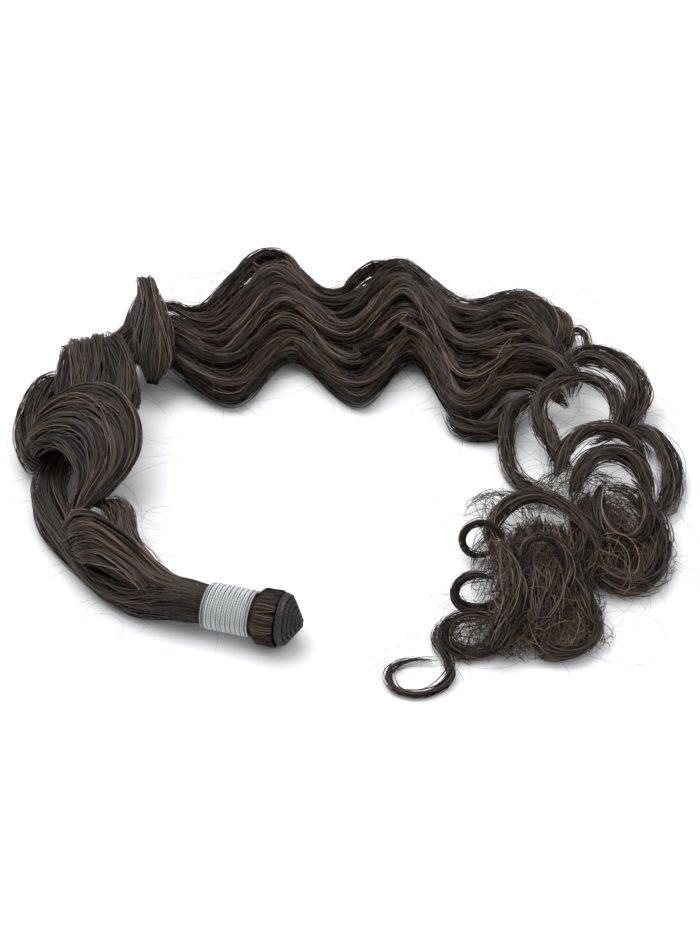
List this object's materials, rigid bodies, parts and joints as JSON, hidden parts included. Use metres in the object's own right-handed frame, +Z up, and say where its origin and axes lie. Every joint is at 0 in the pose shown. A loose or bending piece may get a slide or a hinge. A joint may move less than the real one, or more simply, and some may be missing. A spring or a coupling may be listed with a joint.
{
  "type": "hair weft",
  "caption": "Bundle of long dark wavy hair on a rolled sewn weft, bound with a silver cord and laid in a C shape.",
  "frame": {"origin": "middle of the underside of the box around the laid bundle", "axes": "+Z up from the table, +X from the root side of the C to its curled side, +Y from the C's open front to its back"},
  "size_m": [0.331, 0.3644, 0.04],
  "materials": {
    "hair": "soft satin sheen along the strands",
    "cord": "twisted silver thread, bright and slightly metallic",
    "weft": "matt black sewing thread"
  },
  "bodies": {
    "root": {"hair": "hair", "tie_cord": "cord", "weft_band": "weft"}
  },
  "joints": []
}
